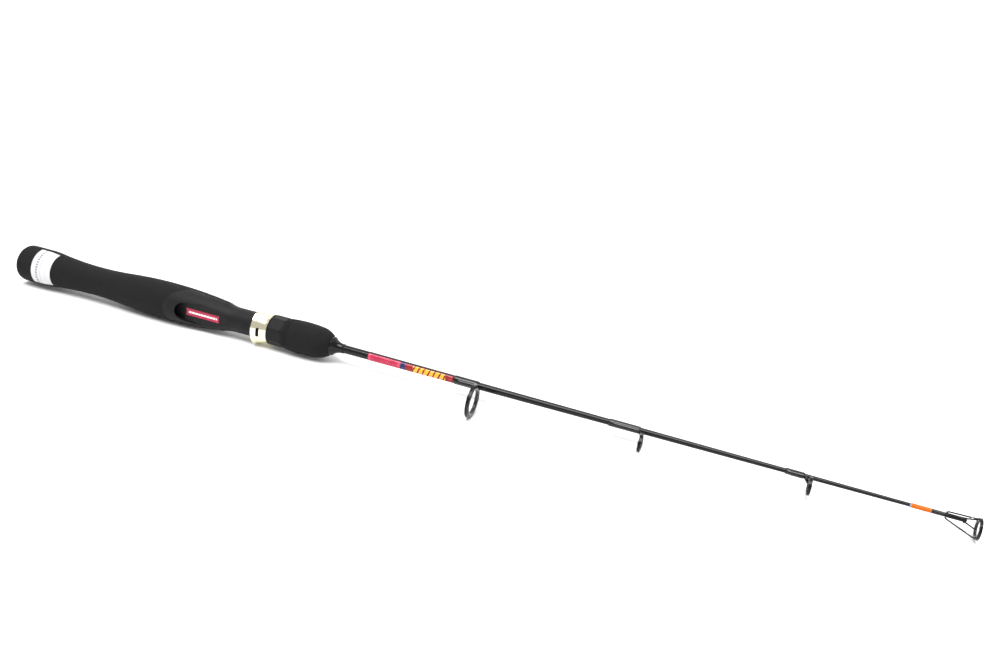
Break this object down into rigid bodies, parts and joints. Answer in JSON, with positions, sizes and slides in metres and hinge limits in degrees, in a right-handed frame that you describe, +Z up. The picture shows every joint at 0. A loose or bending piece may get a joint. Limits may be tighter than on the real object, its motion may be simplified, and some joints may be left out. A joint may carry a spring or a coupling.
{
  "type": "ice fishing rod",
  "caption": "Short black ice fishing rod with foam grips, a screw-lock spinning reel seat with a pale gold hood, three line guides and a wire tip-top.",
  "frame": {"origin": "centre of the flat butt face, on the rod's axis", "axes": "+X along the rod to its tip; -Y is the side with the reel seat and line guides; +Z up when the rod lies on its handle"},
  "size_m": [0.65, 0.047, 0.026],
  "materials": {
    "black_foam": "matt closed-cell foam",
    "core_foam": "matt",
    "seat_plastic": "satin",
    "nut_plastic": "satin",
    "black_plastic": "satin",
    "pale_gold": "polished pale gold plating",
    "white_label": "gloss film",
    "red_sticker": "gloss film",
    "black_gloss": "gloss",
    "black_lacquer": "clear lacquer",
    "decal_red": "print under clear lacquer",
    "decal_band": "print under clear lacquer",
    "decal_gold": "print under clear lacquer",
    "black_thread": "thread under clear lacquer",
    "orange_thread": "thread under clear lacquer",
    "silver_thread": "metallic thread",
    "black_metal": "gloss black",
    "grey_ceramic": "polished"
  },
  "bodies": {
    "rod": {"blank": "black_lacquer", "butt_label": "white_label", "decal_band": "decal_band", "decal_gold": "decal_gold", "decal_red": "decal_red", "guide_1_frame": "black_metal", "guide_1_ring": "grey_ceramic", "guide_1_wrap": "black_thread", "guide_2_frame": "black_metal", "guide_2_ring": "grey_ceramic", "guide_2_wrap": "black_thread", "guide_3_frame": "black_metal", "guide_3_ring": "grey_ceramic", "guide_3_wrap": "black_thread", "handle_core": "core_foam", "rear_grip": "black_foam", "reel_seat_body": "seat_plastic", "seat_bushing_front": "core_foam", "seat_bushing_rear": "core_foam", "seat_sticker": "red_sticker", "tip_top_frame": "black_metal", "tip_top_ring": "grey_ceramic", "tip_top_tube": "black_metal", "tip_wrap_black": "black_thread", "tip_wrap_orange": "orange_thread", "tip_wrap_trim": "silver_thread", "winding_check": "black_gloss"},
    "hood": {"hood_band": "pale_gold", "hood_liner": "black_plastic"},
    "nut": {"lock_nut": "nut_plastic", "foregrip": "black_foam"}
  },
  "joints": [
    {"name": "hood_slide", "type": "slide", "parent": "rod", "child": "hood", "axis": [-1, 0, 0], "range_m": [0, 0.016]},
    {"name": "nut_turn", "type": "hinge", "parent": "hood", "child": "nut", "pos_m": [0.21, 0, 0], "axis": [-1, 0, 0], "range_deg": [0, 2880]}
  ],
  "couplings": [
    {"joint": "nut_turn", "follows": "hood_slide", "rad_per_m": 3141.6}
  ]
}
